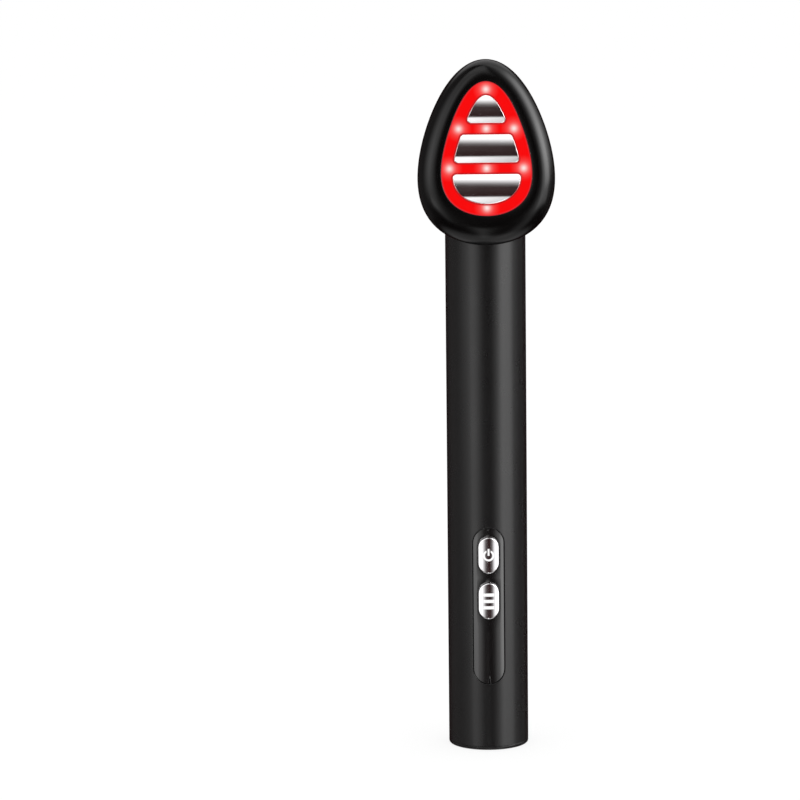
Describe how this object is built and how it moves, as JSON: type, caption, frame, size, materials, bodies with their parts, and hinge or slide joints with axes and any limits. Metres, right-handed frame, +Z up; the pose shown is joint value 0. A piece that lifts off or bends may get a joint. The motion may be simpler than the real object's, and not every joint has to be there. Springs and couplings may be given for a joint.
{
  "type": "light therapy wand",
  "caption": "Handheld light therapy wand: a slim round handle with push buttons carries a swivelling teardrop head with a lit window and polished massage plates.",
  "frame": {"origin": "centre of the flat base face, on the axis of the handle", "axes": "+Z up along the handle to the head, -Y the way that the lit face and the buttons look, +X to the right of someone who looks at the lit face"},
  "size_m": [0.0354, 0.0309, 0.1823],
  "materials": {
    "handle_black": "satin",
    "head_black": "satin",
    "panel_black": "satin",
    "cap_black": "matte",
    "polished_chrome": "polished",
    "red_window": "gloss",
    "mark_white": "gloss",
    "chassis_white": "matte",
    "board_green": "satin",
    "board_white": "satin",
    "chip_black": "matte",
    "led_clear": "gloss",
    "steel": "satin",
    "contact_brass": "satin",
    "cell_blue": "satin",
    "wire_red": "satin",
    "wire_black": "satin",
    "acetal": "satin",
    "plunger_cream": "matte"
  },
  "bodies": {
    "handle": {"handle_tube": "handle_black", "base_cap": "cap_black", "base_screws": "steel", "chassis": "chassis_white", "main_board": "board_green", "board_parts": "chip_black", "usb_socket": "steel", "usb_tongue": "chip_black", "power_switch": "chip_black", "mode_switch": "chip_black", "battery_cell": "cell_blue", "battery_contacts": "contact_brass", "battery_lead": "wire_red", "control_panel": "panel_black", "vibration_motor": "steel", "motor_lead": "wire_black", "neck_cap": "handle_black", "swivel_bush": "acetal", "friction_washer": "acetal", "wave_washer": "steel", "head_loom": "wire_black"},
    "head": {"swivel_axle": "steel", "axle_screws": "steel", "retaining_clip": "steel", "head_rear_shell": "head_black", "head_front_shell": "head_black", "light_window": "red_window", "upper_plate": "polished_chrome", "middle_plate": "polished_chrome", "lower_plate": "polished_chrome", "plate_contacts": "contact_brass", "led_board": "board_white", "leds": "led_clear", "led_screws": "steel"},
    "power_key": {"power_button": "polished_chrome", "power_plunger": "plunger_cream", "power_mark": "mark_white"},
    "mode_key": {"mode_button": "polished_chrome", "mode_plunger": "plunger_cream", "mode_mark": "mark_white"},
    "motor_rotor": {"motor_shaft": "steel", "eccentric_weight": "steel"}
  },
  "joints": [
    {"name": "head_swivel", "type": "hinge", "parent": "handle", "child": "head", "pos_m": [0, -0.00901, 0.15807], "axis": [0, -0.9925, 0.1219], "range_deg": [0, 180]},
    {"name": "power_press", "type": "slide", "parent": "handle", "child": "power_key", "axis": [0, 1, 0], "range_m": [0, 0.00035], "stiffness_N_per_m": 3000},
    {"name": "mode_press", "type": "slide", "parent": "handle", "child": "mode_key", "axis": [0, 1, 0], "range_m": [0, 0.00035], "stiffness_N_per_m": 3000},
    {"name": "motor_spin", "type": "hinge", "parent": "handle", "child": "motor_rotor", "pos_m": [0, 0.002, 0.12], "axis": [0, 0, 1], "continuous": true}
  ]
}
